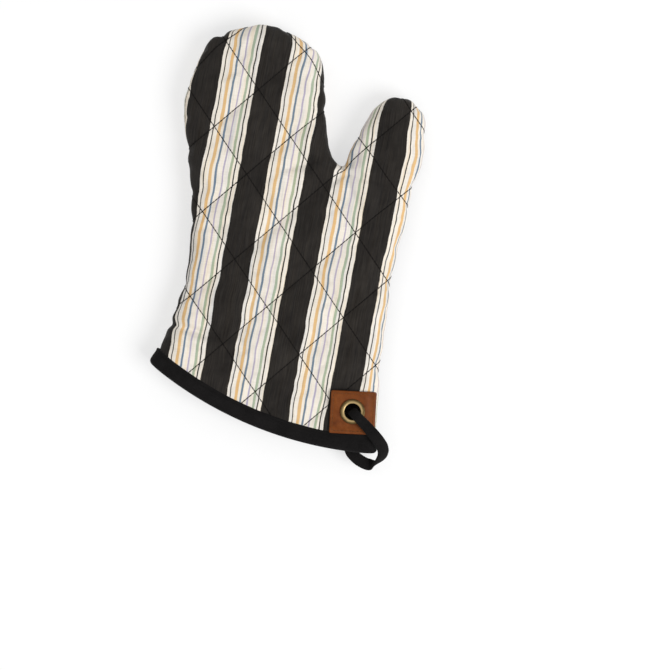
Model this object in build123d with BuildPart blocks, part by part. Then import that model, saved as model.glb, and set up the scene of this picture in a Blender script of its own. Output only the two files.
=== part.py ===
"""Quilted oven mitt with a bound cuff, a leather tab, a brass eyelet and a hanging loop.

The mitt lies on its back panel: Z is up, Y runs to the fingertips and the thumb is at +X.
All sizes are in millimetres.
"""

import os
from math import acos, atan2, cos, hypot, radians, sin, sqrt

from build123d import *

# Plan of the mitt
mitt_length = 331.0
mitt_width = 197.0
finger_top_radius = 54.0
finger_side_radius = 75.0
finger_blend_angle = 140.0
wrist_left_inset = 20.9
wrist_left_y = -35.0
wrist_flare_radius = 183.0
wrist_flare_angle = 24.0
wrist_right_inset = 10.0
wrist_right_y = -50.0
thumb_radius = 23.5
thumb_tip_drop = 43.5
crotch_x = 33.5
crotch_depth = 64.5
crotch_radius = 7.0

# Cuff edge, an arc in plan
cuff_radius = 310.0
cuff_centre_x = 70.0

# Padded body
thickness = 30.0
edge_radius = 11.5
least_radius = 1.0

# Layers of each wall, from the outside in
outer_cloth = 1.0
batting = 4.0
lining = 1.0

# Binding of the cuff
binding_cloth = 0.6
binding_width = 12.5
binding_stitch_inset = 9.9

# Quilting, a lattice that crosses at the middle of the finger end
quilt_angle = 48.0
quilt_spacing = 46.0
groove_radius = 4.0
groove_depth = 1.2

# Threads
thread_width = 0.7
thread_depth = 0.35
seam_thread_radius = 0.4
lining_thread_radius = 0.25
seam_end = 1.0

# Leather tab
tab_width = 36.0
tab_height = 32.5
tab_thickness = 2.0
tab_angle = 5.0
tab_corner_radius = 1.5
tab_stitch_inset = 2.2

# Eyelet
eyelet_side_distance = 20.7
eyelet_cuff_distance = 31.5
eyelet_bore_radius = 6.5
eyelet_wall = 0.5
eyelet_flange_width = 3.5
eyelet_flange_thickness = 1.3
washer_width = 2.1
washer_thickness = 0.8
curl_width = 1.3
curl_thickness = 0.6
fit_gap = 0.1

# Hanging loop: how far its bends are from the cuff edge and from the eyelet's axis
loop_radius = 2.75
loop_gap = 0.45
loop_bend_radius = 5.0
loop_over_x = 16.0
loop_over_inset = 7.5
loop_far_x = 23.0
loop_far_beyond = 5.5
loop_turn_x = 12.0
loop_turn_beyond = 9.5
loop_mouth_x = 4.0
loop_mouth_inset = 1.5
loop_end_gap = 0.4
tack_length = 7.0
tack_thickness = 0.7

# Values that follow from the sizes above
half_thickness = thickness / 2
wall = outer_cloth + batting + lining
seam_z = half_thickness
tip_y = mitt_length / 2
cuff_y = -mitt_length / 2
left_x = -mitt_width / 2
right_x = mitt_width / 2
cuff_centre_y = cuff_y + cuff_radius
main_reach = cuff_radius - binding_width
panel_reach = cuff_radius - binding_cloth
batting_inset = outer_cloth
lining_inset = outer_cloth + batting
tab_top = thickness + tab_thickness
ceiling_z = thickness - wall

os.makedirs("parts", exist_ok=True)


def around(centre, radius, angle):
    """Point at an angle in degrees on a circle."""
    return (centre[0] + radius * cos(radians(angle)), centre[1] + radius * sin(radians(angle)))


def middle(centre, start, end):
    """Point half way along the arc from start to end on a circle."""
    along = (start[0] + end[0] - 2 * centre[0], start[1] + end[1] - 2 * centre[1])
    scale = hypot(start[0] - centre[0], start[1] - centre[1]) / hypot(*along)
    return (centre[0] + along[0] * scale, centre[1] + along[1] * scale)


# Finger end: the top arc reaches the mitt's full length
blend = radians(finger_blend_angle)
top_y = tip_y - finger_top_radius
side_step = finger_side_radius - finger_top_radius
side_centre = (left_x + finger_side_radius, top_y - side_step * sin(blend))
side_end = around(side_centre, finger_side_radius, finger_blend_angle)
top_centre = around(side_centre, side_step, finger_blend_angle)
top_end = around(top_centre, finger_top_radius, 0)

# Little-finger side: a hollow arc from the wrist that runs into the rounded finger end
wrist_left = (left_x + wrist_left_inset, wrist_left_y)
side_rise = side_centre[1] - wrist_left_y
side_lean = 2 * atan2(wrist_left_inset, side_rise)
palm_radius = side_rise / sin(side_lean) - finger_side_radius
palm_centre = (wrist_left[0] - palm_radius, wrist_left_y)
palm_end = (palm_centre[0] + palm_radius * cos(side_lean), wrist_left_y + palm_radius * sin(side_lean))

# Thumb side: one long hollow arc from the thumb's end to the cuff
thumb_centre = (right_x - thumb_radius, tip_y - thumb_tip_drop - thumb_radius)
thumb_run = thumb_radius - wrist_right_inset
thumb_rise = thumb_centre[1] - wrist_right_y
right_radius = (thumb_run**2 + thumb_rise**2 - thumb_radius**2) / (2 * wrist_right_inset)
right_centre = (right_x - wrist_right_inset + right_radius, wrist_right_y)
thumb_turn = atan2(right_centre[1] - thumb_centre[1], right_centre[0] - thumb_centre[0])
thumb_end = (
    thumb_centre[0] + thumb_radius * cos(thumb_turn),
    thumb_centre[1] + thumb_radius * sin(thumb_turn),
)

# The hand's inner side is a hollow arc from the finger end down to the crotch
crotch_point = (crotch_x, thumb_centre[1] + thumb_radius - crotch_depth)
index_run = (crotch_point[0] - top_end[0], crotch_point[1] - top_end[1])
index_centre = (top_end[0] + (index_run[0] ** 2 + index_run[1] ** 2) / (2 * index_run[0]), top_end[1])

# The thumb's inner side runs straight from the crotch to a tangent on the thumb's end
crotch_run = (crotch_point[0] - thumb_centre[0], crotch_point[1] - thumb_centre[1])
tangent_turn = atan2(crotch_run[1], crotch_run[0]) - acos(thumb_radius / hypot(*crotch_run))
thumb_start = (
    thumb_centre[0] + thumb_radius * cos(tangent_turn),
    thumb_centre[1] + thumb_radius * sin(tangent_turn),
)



def right_edge(y):
    """X of the thumb side's edge at a height on the palm."""
    return right_centre[0] - sqrt(right_radius**2 - (y - wrist_right_y) ** 2)


# Both sides run past the cuff, where the form is trimmed
spare_y = cuff_y - 2 * binding_width
right_foot = (right_edge(spare_y), spare_y)
flare = radians(wrist_flare_angle)
flare_centre = (wrist_left[0] - wrist_flare_radius, wrist_left_y)
flare_end = (
    flare_centre[0] + wrist_flare_radius * cos(flare),
    wrist_left_y - wrist_flare_radius * sin(flare),
)
left_foot = (flare_end[0] - (flare_end[1] - spare_y) * sin(flare) / cos(flare), spare_y)

# Eyelet
eyelet_y = cuff_y + eyelet_cuff_distance
eyelet_x = right_edge(eyelet_y) - eyelet_side_distance
barrel_radius = eyelet_bore_radius + eyelet_wall
hole_radius = barrel_radius + fit_gap
flange_radius = eyelet_bore_radius + eyelet_flange_width

with BuildSketch() as mitt_outline:
    with BuildLine():
        Line(left_foot, right_foot)
        ThreePointArc(right_foot, middle(right_centre, right_foot, thumb_end), thumb_end)
        ThreePointArc(thumb_end, middle(thumb_centre, thumb_end, thumb_start), thumb_start)
        Line(thumb_start, crotch_point)
        ThreePointArc(crotch_point, middle(index_centre, crotch_point, top_end), top_end)
        ThreePointArc(top_end, middle(top_centre, top_end, side_end), side_end)
        ThreePointArc(side_end, middle(side_centre, side_end, palm_end), palm_end)
        ThreePointArc(palm_end, middle(palm_centre, palm_end, wrist_left), wrist_left)
        ThreePointArc(wrist_left, middle(flare_centre, wrist_left, flare_end), flare_end)
        Line(flare_end, left_foot)
    make_face()
    fillet(mitt_outline.vertices().sort_by_distance(crotch_point)[0], crotch_radius)


def outline(inset):
    """Plan outline of the mitt, moved in by inset."""
    with BuildSketch() as plan:
        add(mitt_outline.sketch)
        if inset:
            offset(amount=-inset, kind=Kind.INTERSECTION, mode=Mode.REPLACE)
    return plan.sketch


def form(inset):
    """Upper half of the padded body, its surface moved in by inset."""
    with BuildPart() as body:
        with BuildSketch(Plane.XY.offset(seam_z)):
            add(outline(inset))
        extrude(amount=half_thickness - inset)
        top_edges = body.faces().sort_by(Axis.Z)[-1].edges().sort_by(Axis.Y)[1:]
        fillet(top_edges, max(edge_radius - inset, least_radius))
    return body.part


def quilt_plane(angle):
    """Plane across one family of quilting lines, level with the axes of their grooves."""
    return Plane(
        origin=(top_centre[0], top_centre[1], thickness + groove_radius - groove_depth),
        x_dir=(-sin(radians(angle)), cos(radians(angle)), 0),
        z_dir=(cos(radians(angle)), sin(radians(angle)), 0),
    )


quilt_count = int(2 * mitt_length / quilt_spacing)
quilt_lines = [(step * quilt_spacing, 0) for step in range(-quilt_count, quilt_count + 1)]


def quilted(body, inset):
    """Body with the quilting grooves pressed into its top."""
    with BuildPart() as piece:
        add(body)
        for angle in (quilt_angle, -quilt_angle):
            with BuildSketch(quilt_plane(angle)):
                with Locations(*quilt_lines):
                    Circle(groove_radius + inset)
            extrude(amount=2 * mitt_length, both=True, mode=Mode.SUBTRACT)
    return piece.part


def ring(body, far, near=0):
    """The part of a body between two arcs that follow the cuff edge."""
    with BuildPart() as piece:
        add(body)
        with Locations((cuff_centre_x, cuff_centre_y, seam_z)):
            Cylinder(far, 3 * thickness, mode=Mode.INTERSECT)
            if near:
                Cylinder(near, 3 * thickness, mode=Mode.SUBTRACT)
    return piece.part


def stepped(main_body, cuff_body, step):
    """Body that changes to a slimmer one where the binding covers it."""
    with BuildPart() as piece:
        add(ring(main_body, step))
        add(ring(cuff_body, panel_reach, step))
    return piece.part


def above(body, height):
    """The part of a body above a height over the seam."""
    with BuildPart() as piece:
        add(body)
        with Locations((0, 0, seam_z + height)):
            Box(
                4 * mitt_length, 4 * mitt_length, 2 * thickness,
                align=(Align.CENTER, Align.CENTER, Align.MIN), mode=Mode.INTERSECT,
            )
    return piece.part


seam_plane = Plane.XY.offset(seam_z)
outer_face = stepped(quilted(form(0), 0), form(binding_cloth), main_reach)
batting_face = stepped(
    quilted(form(batting_inset), batting_inset),
    form(batting_inset + binding_cloth),
    main_reach - outer_cloth,
)
lining_face = stepped(form(lining_inset), form(lining_inset - binding_cloth), main_reach - lining)
cavity_face = stepped(form(wall), form(wall - binding_cloth), main_reach)
batting_space = above(batting_face, outer_cloth)


def seam(inset, radius, reach):
    """Thread that runs round the hand in the seam, half in each panel."""
    plan = outline(inset).moved(Location((0, 0, seam_z)))
    with BuildPart() as thread:
        with BuildLine() as path:
            add(plan.edges().sort_by(Axis.Y)[1:])
        line = path.wire()
        with BuildSketch(Plane(origin=line @ 0, z_dir=line % 0)):
            Circle(radius)
        sweep(path=line)
        with Locations((cuff_centre_x, cuff_centre_y, seam_z)):
            Cylinder(reach, 3 * thickness, mode=Mode.INTERSECT)
    return thread.part


outer_seam_inset = (batting_inset + lining_inset) / 2
outer_seam_channel = seam(outer_seam_inset, seam_thread_radius + fit_gap / 2, panel_reach)
lining_seam_inset = (lining_inset + wall) / 2
lining_seam_channel = seam(lining_seam_inset, lining_thread_radius + fit_gap / 2, main_reach - lining)

with BuildPart() as outer_seam_thread:
    add(seam(outer_seam_inset, seam_thread_radius, panel_reach - seam_end))

with BuildPart() as lining_seam_thread:
    add(seam(lining_seam_inset, lining_thread_radius, main_reach - lining - seam_end))

with BuildPart() as outer_back:
    add(outer_face)
    add(batting_space, mode=Mode.SUBTRACT)
    add(lining_face, mode=Mode.SUBTRACT)
    add(outer_seam_channel, mode=Mode.SUBTRACT)
    mirror(about=seam_plane, mode=Mode.REPLACE)

with BuildPart() as batting_back:
    add(batting_space)
    add(lining_face, mode=Mode.SUBTRACT)
    mirror(about=seam_plane, mode=Mode.REPLACE)

with BuildPart() as lining_back:
    add(lining_face)
    add(cavity_face, mode=Mode.SUBTRACT)
    add(lining_seam_channel, mode=Mode.SUBTRACT)
    mirror(about=seam_plane, mode=Mode.REPLACE)

with BuildPart() as outer_front:
    mirror(outer_back.part, about=seam_plane)
    with Locations((eyelet_x, eyelet_y, thickness)):
        Cylinder(hole_radius, thickness, mode=Mode.SUBTRACT)

with BuildPart() as batting_front:
    mirror(batting_back.part, about=seam_plane)
    with Locations((eyelet_x, eyelet_y, thickness)):
        Cylinder(hole_radius, thickness, mode=Mode.SUBTRACT)

with BuildPart() as lining_front:
    mirror(lining_back.part, about=seam_plane)
    with Locations((eyelet_x, eyelet_y, thickness)):
        Cylinder(hole_radius, thickness, mode=Mode.SUBTRACT)

# Binding, a folded tape round the whole cuff edge with one row of stitches on each side
stitch_far = cuff_radius - binding_stitch_inset
stitch_near = stitch_far - thread_width
stitch_outside = form(thread_depth)
stitch_inside = form(wall - thread_depth)
whole_form = form(0)
cavity_form = form(wall)
cuff_wall = ring(form(binding_cloth), panel_reach, main_reach)
cuff_lining = ring(form(wall - binding_cloth), panel_reach, main_reach)

with BuildPart() as stitch_rows:
    add(ring(whole_form, stitch_far, stitch_near))
    add(stitch_outside, mode=Mode.SUBTRACT)
    add(ring(stitch_inside, stitch_far, stitch_near))
    add(cavity_form, mode=Mode.SUBTRACT)

with BuildPart() as binding_stitching:
    add(stitch_rows.part)
    mirror(about=seam_plane)

with BuildPart() as cuff_binding:
    add(ring(whole_form, cuff_radius, main_reach))
    add(cuff_wall, mode=Mode.SUBTRACT)
    add(cuff_lining)
    add(cavity_form, mode=Mode.SUBTRACT)
    mirror(about=seam_plane)
    add(binding_stitching.part, mode=Mode.SUBTRACT)

# Quilting threads at the bottom of the grooves, on the flat of each side
thread_radius = thread_width / 2
thread_level = thread_radius + fit_gap / 2 - groove_radius

with BuildPart() as quilting_thread_back:
    for angle in (quilt_angle, -quilt_angle):
        with BuildSketch(quilt_plane(angle)):
            with Locations(*[(x, thread_level) for x, _ in quilt_lines]):
                Circle(thread_radius)
        extrude(amount=2 * mitt_length, both=True)
    with BuildSketch(seam_plane):
        add(outline(edge_radius))
        with Locations((cuff_centre_x, cuff_centre_y)):
            Circle(main_reach - fit_gap, mode=Mode.INTERSECT)
    extrude(amount=thickness, mode=Mode.INTERSECT)
    mirror(about=seam_plane, mode=Mode.REPLACE)

with BuildPart() as quilting_thread_front:
    mirror(quilting_thread_back.part, about=seam_plane)
    with Locations((eyelet_x, eyelet_y, thickness)):
        Cylinder(hole_radius, thickness, mode=Mode.SUBTRACT)

# Leather tab, bent over the edge of the padded body
tab_form = form(-tab_thickness)
tab_stitch_form = form(thread_depth - tab_thickness)

with BuildPart() as tab_stitching:
    with BuildSketch(seam_plane):
        with Locations((eyelet_x, eyelet_y)):
            Rectangle(tab_width - 2 * tab_stitch_inset, tab_height - 2 * tab_stitch_inset, rotation=tab_angle)
            Rectangle(
                tab_width - 2 * (tab_stitch_inset + thread_width),
                tab_height - 2 * (tab_stitch_inset + thread_width),
                rotation=tab_angle,
                mode=Mode.SUBTRACT,
            )
    extrude(amount=thickness)
    add(tab_form, mode=Mode.INTERSECT)
    add(tab_stitch_form, mode=Mode.SUBTRACT)

with BuildPart() as leather_tab:
    with BuildSketch(seam_plane):
        with Locations((eyelet_x, eyelet_y)):
            RectangleRounded(tab_width, tab_height, tab_corner_radius, rotation=tab_angle)
    extrude(amount=thickness)
    add(tab_form, mode=Mode.INTERSECT)
    add(whole_form, mode=Mode.SUBTRACT)
    add(tab_stitching.part, mode=Mode.SUBTRACT)
    with Locations((eyelet_x, eyelet_y, thickness)):
        Cylinder(hole_radius, thickness, mode=Mode.SUBTRACT)

# Eyelet: a flange on the leather, a barrel through the front wall and a curl over the washer
eyelet_axis = Axis((eyelet_x, eyelet_y, 0), (0, 0, 1))
eyelet_section = Plane(origin=(eyelet_x, eyelet_y, 0), x_dir=(1, 0, 0), z_dir=(0, -1, 0))
curl_radius = barrel_radius + curl_width
curl_top = ceiling_z - washer_thickness
curl_bottom = curl_top - curl_thickness
flange_top = tab_top + eyelet_flange_thickness

with BuildPart() as eyelet:
    with BuildSketch(eyelet_section) as eyelet_profile:
        with BuildLine():
            Polyline(
                (eyelet_bore_radius, curl_bottom),
                (curl_radius, curl_bottom),
                (curl_radius, curl_top),
                (barrel_radius, curl_top),
                (barrel_radius, tab_top),
                (flange_radius, tab_top),
                (flange_radius, flange_top),
                (eyelet_bore_radius, flange_top),
                close=True,
            )
        make_face()
        fillet(eyelet_profile.vertices().group_by(Axis.Y)[-1], 0.6 * eyelet_flange_thickness)
        fillet(eyelet_profile.vertices().group_by(Axis.Y)[0], 0.5 * curl_thickness)
    revolve(axis=eyelet_axis)

with BuildPart() as eyelet_washer:
    with BuildSketch(Plane.XY.offset(curl_top)):
        with Locations((eyelet_x, eyelet_y)):
            Circle(hole_radius + washer_width)
            Circle(hole_radius, mode=Mode.SUBTRACT)
    extrude(amount=washer_thickness)

# Hanging loop: out through the eyelet, over the cuff corner and back inside the cuff
loop_top = flange_top + loop_gap + loop_radius
loop_low = curl_bottom - loop_gap - loop_radius
mouth = (eyelet_x + loop_mouth_x, cuff_y + loop_mouth_inset, loop_low)
below = (eyelet_x, eyelet_y, loop_low)
join = tuple((a + b) / 2 for a, b in zip(mouth, below))
leg_length = hypot(below[0] - mouth[0], below[1] - mouth[1])
inward = tuple((b - a) / leg_length for a, b in zip(mouth, below))
loop_points = [
    tuple(j + u * loop_end_gap / 2 for j, u in zip(join, inward)),
    below,
    (eyelet_x, eyelet_y, loop_top),
    (eyelet_x + loop_over_x, cuff_y + loop_over_inset, loop_top),
    (eyelet_x + loop_far_x, cuff_y - loop_far_beyond, thickness - loop_radius),
    (eyelet_x + loop_turn_x, cuff_y - loop_turn_beyond, loop_low + loop_radius / 2),
    mouth,
    tuple(j - u * loop_end_gap / 2 for j, u in zip(join, inward)),
]

with BuildPart() as hang_loop:
    with BuildLine() as loop_path:
        FilletPolyline(*loop_points, radius=loop_bend_radius)
    loop_line = loop_path.wire()
    with BuildSketch(Plane(origin=loop_line @ 0, z_dir=loop_line % 0)):
        Circle(loop_radius)
    sweep(path=loop_line)

with BuildPart() as loop_tack:
    with BuildSketch(Plane(origin=join, z_dir=inward)):
        Circle(loop_radius + fit_gap / 2 + tack_thickness)
        Circle(loop_radius + fit_gap / 2, mode=Mode.SUBTRACT)
    extrude(amount=tack_length / 2, both=True)

pieces = {
    "outer_front": outer_front,
    "outer_back": outer_back,
    "batting_front": batting_front,
    "batting_back": batting_back,
    "lining_front": lining_front,
    "lining_back": lining_back,
    "outer_seam_thread": outer_seam_thread,
    "lining_seam_thread": lining_seam_thread,
    "cuff_binding": cuff_binding,
    "binding_stitching": binding_stitching,
    "quilting_thread_front": quilting_thread_front,
    "quilting_thread_back": quilting_thread_back,
    "leather_tab": leather_tab,
    "tab_stitching": tab_stitching,
    "eyelet": eyelet,
    "eyelet_washer": eyelet_washer,
    "hang_loop": hang_loop,
    "loop_tack": loop_tack,
}
for name, piece in pieces.items():
    piece.part.label = name
    export_step(piece.part, f"parts/{name}.step")
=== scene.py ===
"""Quilted oven mitt: padded panels, lining, bound cuff, leather tab, brass eyelet and hanging loop.

The frame is in metres. Lengths below are in millimetres until a mesh is made.
"""

import math

import bmesh
import bpy
import numpy as np
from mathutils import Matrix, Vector, noise
from mathutils.bvhtree import BVHTree
from mathutils.geometry import delaunay_2d_cdt


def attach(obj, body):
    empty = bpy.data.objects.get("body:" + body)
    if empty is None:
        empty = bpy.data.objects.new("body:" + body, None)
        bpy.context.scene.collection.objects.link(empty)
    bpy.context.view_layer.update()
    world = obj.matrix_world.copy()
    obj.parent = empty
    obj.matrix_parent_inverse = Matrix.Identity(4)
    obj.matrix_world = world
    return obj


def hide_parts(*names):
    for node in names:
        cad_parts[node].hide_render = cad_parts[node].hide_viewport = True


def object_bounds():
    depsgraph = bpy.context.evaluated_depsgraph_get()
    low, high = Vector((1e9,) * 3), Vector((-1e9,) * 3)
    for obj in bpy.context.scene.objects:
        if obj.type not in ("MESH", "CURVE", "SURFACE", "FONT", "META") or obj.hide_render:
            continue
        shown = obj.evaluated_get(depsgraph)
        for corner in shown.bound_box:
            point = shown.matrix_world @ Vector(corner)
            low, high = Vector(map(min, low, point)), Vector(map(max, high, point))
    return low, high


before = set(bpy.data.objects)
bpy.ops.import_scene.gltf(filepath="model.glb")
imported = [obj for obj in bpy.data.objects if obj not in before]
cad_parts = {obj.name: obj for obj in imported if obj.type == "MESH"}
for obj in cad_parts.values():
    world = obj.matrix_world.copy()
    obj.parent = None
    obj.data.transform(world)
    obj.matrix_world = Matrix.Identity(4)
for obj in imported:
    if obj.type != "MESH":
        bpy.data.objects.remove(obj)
cad_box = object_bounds()

MM = 0.001

# Plan of the mitt, as in the solids
mitt_length = 331.0
mitt_width = 197.0
finger_top_radius = 54.0
finger_side_radius = 75.0
finger_blend_angle = 140.0
wrist_left_inset = 20.9
wrist_left_y = -35.0
wrist_flare_radius = 183.0
wrist_flare_angle = 24.0
wrist_run_on = 90.0
wrist_right_inset = 10.0
wrist_right_y = -50.0
thumb_radius = 23.5
thumb_tip_drop = 43.5
crotch_x = 33.5
crotch_depth = 64.5
crotch_radius = 7.0
cuff_radius = 310.0
cuff_centre_x = 70.0
half_thickness = 15.0
wall = 6.0

# Binding, quilting and eyelet, as in the solids
binding_width = 12.5
binding_stitch_inset = 9.9
quilt_angle = 48.0
quilt_spacing = 46.0
eyelet_x = 71.06
eyelet_y = -134.0

# Leather tab, a little larger than its solid so that it meets the binding, and off the eyelet's centre
tab_width = 36.8
tab_height = 34.4
tab_shift = np.array([0.4, -0.7])
tab_thickness = 2.0
tab_angle = 5.0
tab_corner_radius = 1.5
tab_bevel = 0.65
tab_stitch_inset = 2.2
tab_stitch_corner = 0.8
tab_hole = 7.1
tab_cell = 0.9
tab_cover = 19.5

# Form of the soft panels
crown_width = 17.0
tab_crown_width = 13.0
crown_power = 2.3
dome_height = 2.4
dome_reach = 42.0
groove_depth = 2.3
groove_reach = 5.5
cells_per_diamond = 20
mesh_reach = 400.0
barrel_hole = 7.2
cloth_cuff_gap = 1.2
seam_lip = 1.4
seam_shoulder = 0.9
seam_gap = 0.12
seam_rings = (0.45, 1.5, 3.0)
wrist_fold = (-84.0, -84.0)
finger_notch = (-74.0, 150.5)
crotch_foot = (33.5, 64.0)
crotch_reach = 16.0
resting_height = 0.05
tape_room = 1.3

# Cloth, and how its padding swells it
cloth_thickness = 0.8
cloth_settings = {
    "quality": 6,
    "mass": 0.0004,
    "tension_stiffness": 8.0,
    "compression_stiffness": 8.0,
    "shear_stiffness": 3.2,
    "bending_stiffness": 0.05,
    "use_pressure": True,
    "uniform_pressure_force": 4.0,
    "shrink_min": -0.03,
    "vertex_group_mass": "held",
}
cloth_frames = 20
cloth_cap = 5.0

# Layers under the cloth: how far in from the side, from the cuff's edge and under the form
fill_inset = 4.2
fill_cuff_gap = 4.0
fill_depth = 3.9
fill_thickness = 1.0
fill_cell = 5.0
lining_inset = wall + 0.5
lining_cuff_gap = 1.5
lining_thickness = 0.6
lining_cell = 4.0
lining_tuck = 1.0

# Tape of the cuff, as distance from the cuff's edge and height off the wall on each face
tape_face = (
    (12.7, -0.4), (12.5, 0.45), (11.9, 0.85), (10.8, 0.8), (9.9, 0.4),
    (9.0, 0.8), (6.5, 1.0), (3.5, 1.0), (1.2, 0.9),
)
# Its fold, as distance past the edge, share of the way to the inner face, and height off the wall
tape_fold = ((0.3, 0.10, 0.2), (0.8, 0.35, 0.0), (0.8, 0.65, 0.0), (0.3, 0.90, 0.2))
tape_thickness = 0.35
tape_widening = 2.6
tape_map_step = 2.0
cuff_count = 150

# Radius, pitch and gap of the stitches in each kind of row
# The quilting thread's radius is larger than the thread alone, so that its dark colour also stands for
# painted shade along the groove it lies in
quilt_thread_and_shade = (0.43, 3.0, 0.12)
seam_thread = (0.3, 2.6, 0.5)
lining_thread = (0.25, 2.6, 0.5)
tape_thread = (0.3, 2.8, 0.6)
tab_thread = (0.34, 3.0, 0.7)
# One stitch: share of its length, share of its radius, and lift in radii
stitch_profile = (
    (0.0, 0.6, -0.352), (0.15, 0.92, 0.088), (0.5, 1.0, 0.22), (0.85, 0.92, 0.088), (1.0, 0.6, -0.352),
)
stitch_squash = 0.85
thread_sides = 6
seam_row_inset = seam_lip + 1.8
seam_row_cuff_gap = 3.0
tape_row_height = 0.45
shortest_run = 6
quilt_end_inset = 2.5
quilt_under_tape = 1.8
quilt_reach = 420
quilt_numbers = range(-9, 6)
wall_search = 12.0
wall_clear = 4.0
above_all = 90.0
below_all = -50.0

# Hanging loop: its route, and half width and half depth in the eyelet with their change to the far bend
loop_points = (
    (eyelet_x, eyelet_y, 19.4), (eyelet_x, eyelet_y, 36.8), (94.0, -152.0, 36.6), (102.0, -163.5, 26.5),
    (94.5, -176.0, 15.0), (82.0, -173.5, 15.8), (71.8, -164.3, 17.6), (71.0, -149.0, 19.0),
)
loop_width_axis = np.array([0.78, 0.63, 0.0])
strap_half = (4.1, 1.6)
strap_change = (0.8, -0.25)
strap_step = 0.8
strap_sides = 20
strap_map_step = 1.1
whipping_turns = 9
whipping_sides = 28
whipping_radius = 0.36
whipping_clear = 0.2
whipping_slant = 0.4

# Where the lain mitt leaves its cut outline: place, shift, and reach across and up
settlings = (
    ((97.0, 72.0), (4.0, 0.0), (14.0, 20.0)),
    ((90.0, 29.0), (2.2, 0.0), (14.0, 20.0)),
    ((72.0, 122.0), (0.0, 1.2), (16.0, 10.0)),
    ((48.0, 98.0), (-1.5, 0.3), (12.0, 24.0)),
    ((33.5, 64.0), (2.2, -4.8), (5.5, 6.5)),
    ((15.0, 92.0), (2.0, 0.6), (12.0, 18.0)),
    ((2.0, 146.0), (2.4, 2.4), (14.0, 16.0)),
    ((-83.0, 146.0), (-2.0, 2.8), (14.0, 14.0)),
    ((-89.0, 36.0), (-1.4, 0.0), (14.0, 40.0)),
    ((-82.0, -73.0), (-1.8, 0.0), (12.0, 16.0)),
)
# Creases and ridges of the front: height, start, end and width
front_creases = (
    (-2.8, (30, 68), (-10, 51), 3.6),
    (2.2, (30, 60), (-6, 42), 5.5),
    (-1.8, (36, 50), (58, 24), 4.0),
    (-2.4, (31, 52), (-34, -20), 6.0),
    (-2.6, (35, 56), (70, 50), 3.0),
    (-4.6, wrist_fold, (-38, -92), 2.6),
    (2.4, (-90, -92), (-42, -100), 5.0),
    (-1.6, (86, -30), (46, -44), 4.5),
    (-1.5, (-78, -8), (-44, 4), 4.5),
)
# Hollow and swelling of the front by the crotch: height, place and width
front_swells = ((-2.6, (33, 50), 7.0), (2.4, (52, 62), 13.0))

tip_y = mitt_length / 2
cuff_y = -mitt_length / 2
left_x = -mitt_width / 2
right_x = mitt_width / 2
cuff_centre = np.array([cuff_centre_x, cuff_y + cuff_radius])
tape_edge = cuff_radius - binding_width
eyelet = np.array([eyelet_x, eyelet_y])
tab_half = np.array([tab_width, tab_height]) / 2
tab_turn = math.radians(tab_angle)
tab_axes = np.array([[math.cos(tab_turn), math.sin(tab_turn)], [-math.sin(tab_turn), math.cos(tab_turn)]])
quilt_step = quilt_spacing / cells_per_diamond
quilt_turn = math.radians(quilt_angle)
# Directions along and across each family of quilting lines
quilt_ways = [
    (np.array([math.cos(lean), math.sin(lean)]), np.array([-math.sin(lean), math.cos(lean)]))
    for lean in (quilt_turn, -quilt_turn)
]
# Points worked on at once, and a distance that counts as none
chunk = 2000
tolerance = 0.05


def smooth(value, low, high):
    """0 below low, 1 above high and smooth between them."""
    share = np.clip((value - low) / (high - low), 0, 1)
    return share * share * (3 - 2 * share)


def bell(value, width):
    """1 at zero, falling to about 0 at two widths either side."""
    return np.exp(-((value / width) ** 2))


def unit(vectors):
    """Vectors scaled to a length of 1."""
    return vectors / np.maximum(np.linalg.norm(vectors, axis=1), 1e-9)[:, None]


def far(points, place):
    """Distance of points from a place."""
    return np.linalg.norm(points - place, axis=1)


def bearing(way):
    """Direction in plan, in degrees."""
    return math.degrees(math.atan2(way[1], way[0]))


def closed(line):
    return np.vstack([line, line[:1]])


def run_lengths(line):
    """Length along a line at each of its points."""
    return np.concatenate([[0], np.cumsum(np.linalg.norm(np.diff(line, axis=0), axis=1))])


def at_lengths(values, lengths, at):
    """Values of a line's points, read at other lengths along it."""
    return np.column_stack([np.interp(at, lengths, column) for column in values.T])


def spaced(line, step):
    """A line's points again, at even distances of about step."""
    run = run_lengths(line)
    return at_lengths(line, run, np.linspace(0, run[-1], max(3, int(round(run[-1] / step)) + 1)))


def on_circle(centre, radius, turn):
    return np.column_stack([centre[0] + radius * np.cos(turn), centre[1] + radius * np.sin(turn)])


def arc(centre, radius, start, end, step=1.0):
    """Points on a circle from one angle to another, in degrees."""
    count = max(3, int(abs(math.radians(end - start)) * radius / step) + 1)
    return on_circle(centre, radius, np.radians(np.linspace(start, end, count)))


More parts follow.
